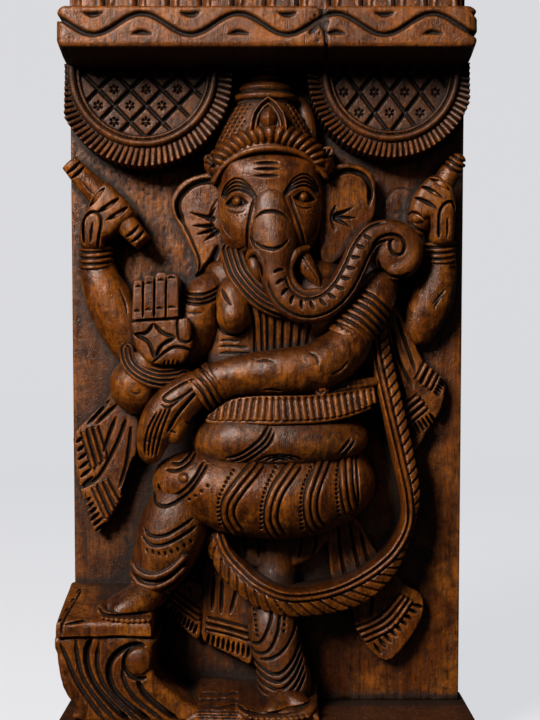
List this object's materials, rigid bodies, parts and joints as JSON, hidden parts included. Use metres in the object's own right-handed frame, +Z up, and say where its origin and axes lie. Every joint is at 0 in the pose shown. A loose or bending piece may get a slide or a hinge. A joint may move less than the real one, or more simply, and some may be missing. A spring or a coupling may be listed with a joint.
{
  "type": "carved wooden wall panel",
  "caption": "Tall carved wooden wall panel: an elephant-headed dancing figure in high relief under a cornice with fan medallions, on a plinth, with keyhole hangers behind.",
  "frame": {"origin": "middle of the plinth's underside", "axes": "+X to the viewer's right, +Y to the wall behind (the carving faces -Y), +Z up"},
  "size_m": [0.305, 0.1, 0.61],
  "materials": {
    "figure_wood": "hand-carved hardwood, dark brown stain settled in the cuts, worn warm on the high spots, waxed",
    "frame_wood": "dark brown stained hardwood with straight open grain and gouge marks, waxed",
    "plank_wood": "dark brown stained plank with vertical grain and a tooled ground, waxed",
    "hanger_steel": "zinc plated",
    "screw_steel": "zinc plated"
  },
  "bodies": {
    "root": {"back_plank": "plank_wood", "belly": "figure_wood", "belly_sash": "figure_wood", "bent_foot": "figure_wood", "bent_shin": "figure_wood", "blessing_bangles": "figure_wood", "blessing_forearm": "figure_wood", "blessing_hand": "figure_wood", "blessing_upper_arm": "figure_wood", "chest": "figure_wood", "cornice": "frame_wood", "crown_band": "figure_wood", "crown_cap": "figure_wood", "crown_jewel": "figure_wood", "foot_pedestal": "figure_wood", "garland": "figure_wood", "hanger_screws": "screw_steel", "head": "figure_wood", "inner_left_hem": "figure_wood", "left_ear": "figure_wood", "left_hanger": "hanger_steel", "left_medallion": "figure_wood", "left_rear_bangles": "figure_wood", "left_rear_club": "figure_wood", "left_rear_forearm": "figure_wood", "left_rear_hand": "figure_wood", "left_sash_tail": "figure_wood", "left_tusk": "figure_wood", "lower_right_sash": "figure_wood", "lowered_bangles": "figure_wood", "lowered_forearm": "figure_wood", "lowered_hand": "figure_wood", "lowered_upper_arm": "figure_wood", "necklace": "figure_wood", "outer_left_hem": "figure_wood", "pedestal_scroll": "figure_wood", "plinth": "frame_wood", "right_ear": "figure_wood", "right_hanger": "hanger_steel", "right_medallion": "figure_wood", "right_rear_bangles": "figure_wood", "right_rear_club": "figure_wood", "right_rear_forearm": "figure_wood", "right_rear_hand": "figure_wood", "right_sash_tail": "figure_wood", "right_tusk": "figure_wood", "skirt_drape": "figure_wood", "standing_base": "figure_wood", "standing_foot": "figure_wood", "standing_leg": "figure_wood", "thigh": "figure_wood", "top_cap": "frame_wood", "trunk": "figure_wood", "upper_frieze": "frame_wood"}
  },
  "joints": []
}
